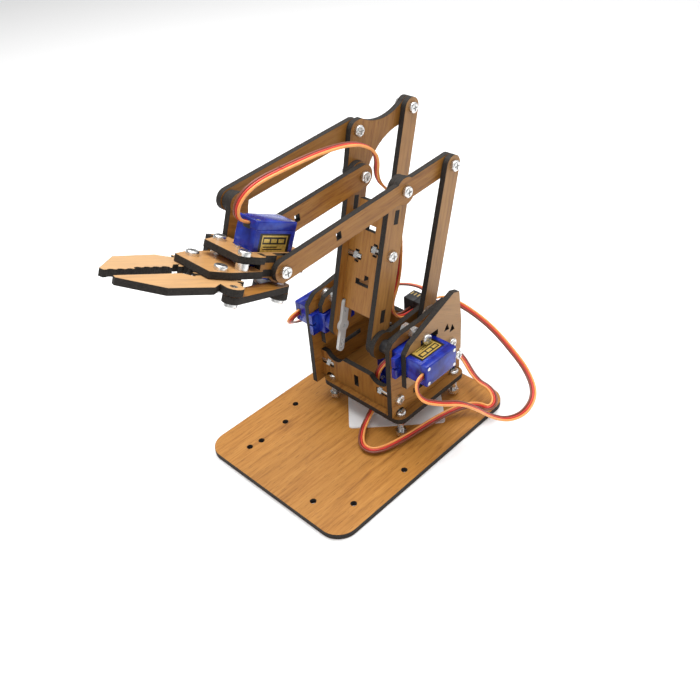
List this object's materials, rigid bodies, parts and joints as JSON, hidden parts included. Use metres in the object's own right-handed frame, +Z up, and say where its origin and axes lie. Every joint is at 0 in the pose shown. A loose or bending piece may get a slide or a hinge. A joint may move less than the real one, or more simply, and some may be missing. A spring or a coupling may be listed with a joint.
{
  "type": "desktop robot arm",
  "caption": "Desktop robot arm of laser-cut board: turntable, parallel-linkage arm that keeps its hand level, geared gripper, driven by micro servos.",
  "frame": {"origin": "turntable axis at the underside of the base plate", "axes": "+X towards the gripper with the turntable at rest, +Y towards the elbow servo, +Z up"},
  "size_m": [0.1965, 0.122, 0.1658],
  "materials": {
    "board": "brown-faced ply with laser-charred edges",
    "screws": "bright zinc",
    "glide_sheet": "smooth",
    "servo_case": "translucent blue",
    "servo_horn": "white moulding",
    "servo_shaft": "white spline",
    "lead": "three-wire servo lead",
    "plug": "black housing"
  },
  "bodies": {
    "base": {"base_plate": "board", "glide_sheet": "glide_sheet", "yaw_horn": "servo_horn", "yaw_horn_screws": "screws", "yaw_servo_shaft": "servo_shaft"},
    "turret": {"turret_floor": "board", "front_plate": "board", "back_plate": "board", "elbow_side_inner_plate": "board", "elbow_servo_plate": "board", "shoulder_side_inner_plate": "board", "shoulder_servo_plate": "board", "turret_feet": "screws", "turret_fasteners": "screws", "yaw_servo": "servo_case", "shoulder_servo": "servo_case", "elbow_servo": "servo_case", "level_pivot": "screws", "lead_plugs": "plug", "yaw_lead": "lead", "elbow_lead": "lead", "shoulder_lead": "lead", "claw_lead": "lead"},
    "upper_arm": {"shoulder_column": "board", "elbow_column": "board", "column_cross_plate": "board", "column_fasteners": "screws", "shoulder_horn": "servo_horn", "shoulder_servo_shaft": "servo_shaft", "elbow_axles": "screws"},
    "elbow_crank": {"crank_plate": "board", "elbow_horn": "servo_horn", "elbow_servo_shaft": "servo_shaft"},
    "crank_pin": {"crank_pin_screw": "screws"},
    "drive_link": {"drive_link": "board"},
    "level_link": {"level_link": "board", "level_top_pin": "screws"},
    "elbow_triangle": {"elbow_triangle": "board", "triangle_top_pin": "screws"},
    "top_link": {"top_link": "board"},
    "forearm": {"forearm_beam": "board", "forearm_lever": "board", "forearm_pins": "screws"},
    "hand": {"palm_upper_board": "board", "palm_lower_board": "board", "hand_bracket_right": "board", "hand_bracket_left": "board", "palm_fasteners": "screws", "finger_pivots": "screws", "claw_servo": "servo_case", "hand_pins": "screws", "hand_top_spacer": "board"},
    "finger_driven": {"finger_driven": "board", "finger_link_screw": "screws"},
    "finger_idle": {"finger_idle": "board"},
    "claw_crank": {"claw_crank": "board", "claw_horn": "servo_horn", "claw_servo_shaft": "servo_shaft"},
    "claw_link": {"claw_link": "board", "claw_crank_screw": "screws"}
  },
  "joints": [
    {"name": "yaw", "type": "hinge", "parent": "base", "child": "turret", "pos_m": [0, 0, 0.0036], "axis": [0, 0, 1], "range_deg": [-90, 90]},
    {"name": "shoulder", "type": "hinge", "parent": "turret", "child": "upper_arm", "pos_m": [0.0195, 0, 0.055], "axis": [0, 1, 0], "range_deg": [-20, 50], "deforming": ["claw_lead"]},
    {"name": "triangle_level", "type": "hinge", "parent": "upper_arm", "child": "elbow_triangle", "pos_m": [-0.00053, 0, 0.13245], "axis": [0, 1, 0], "range_deg": [-50, 20]},
    {"name": "elbow", "type": "hinge", "parent": "elbow_triangle", "child": "forearm", "pos_m": [-0.00053, 0, 0.13245], "axis": [0, 1, 0], "range_deg": [-30, 25], "deforming": ["claw_lead"]},
    {"name": "crank", "type": "hinge", "parent": "turret", "child": "elbow_crank", "pos_m": [0.0195, 0, 0.055], "axis": [0, 1, 0], "range_deg": [-30, 25]},
    {"name": "crank_pin", "type": "hinge", "parent": "elbow_crank", "child": "crank_pin", "pos_m": [-0.01142, 0, 0.05716], "axis": [0, 1, 0], "range_deg": [-25, 30]},
    {"name": "drive_link", "type": "hinge", "parent": "crank_pin", "child": "drive_link", "pos_m": [-0.01142, 0, 0.05716], "axis": [0, 1, 0], "range_deg": [-20, 50]},
    {"name": "level_link", "type": "hinge", "parent": "turret", "child": "level_link", "pos_m": [-0.02024, 0, 0.07569], "axis": [0, 1, 0], "range_deg": [-20, 50]},
    {"name": "top_link", "type": "hinge", "parent": "elbow_triangle", "child": "top_link", "pos_m": [-0.00497, 0, 0.15247], "axis": [0, 1, 0], "range_deg": [-30, 25]},
    {"name": "hand_level", "type": "hinge", "parent": "forearm", "child": "hand", "pos_m": [0.07628, 0, 0.12708], "axis": [0, 1, 0], "range_deg": [-25, 30], "deforming": ["claw_lead"]},
    {"name": "claw", "type": "hinge", "parent": "hand", "child": "finger_driven", "pos_m": [0.1055, 0.007, 0.13541], "axis": [-0.4226, 0, 0.9063], "range_deg": [-3.5, 40]},
    {"name": "claw_idle", "type": "hinge", "parent": "hand", "child": "finger_idle", "pos_m": [0.1055, -0.011, 0.13541], "axis": [-0.4226, 0, 0.9063], "range_deg": [-40, 3.5]},
    {"name": "claw_crank", "type": "hinge", "parent": "hand", "child": "claw_crank", "pos_m": [0.07717, -0.002, 0.11536], "axis": [-0.4226, 0, 0.9063], "range_deg": [-3.5, 40]},
    {"name": "claw_link", "type": "hinge", "parent": "claw_crank", "child": "claw_link", "pos_m": [0.07681, 0.0085, 0.1185], "axis": [-0.4226, 0, 0.9063], "range_deg": [-40, 3.5]}
  ],
  "couplings": [
    {"joint": "triangle_level", "follows": "shoulder", "ratio": -1},
    {"joint": "drive_link", "follows": "shoulder", "ratio": 1},
    {"joint": "level_link", "follows": "shoulder", "ratio": 1},
    {"joint": "crank", "follows": "elbow", "ratio": 1},
    {"joint": "crank_pin", "follows": "elbow", "ratio": -1},
    {"joint": "top_link", "follows": "elbow", "ratio": 1},
    {"joint": "hand_level", "follows": "elbow", "ratio": -1},
    {"joint": "claw_idle", "follows": "claw", "ratio": -1},
    {"joint": "claw_crank", "follows": "claw", "ratio": 1},
    {"joint": "claw_link", "follows": "claw", "ratio": -1}
  ]
}
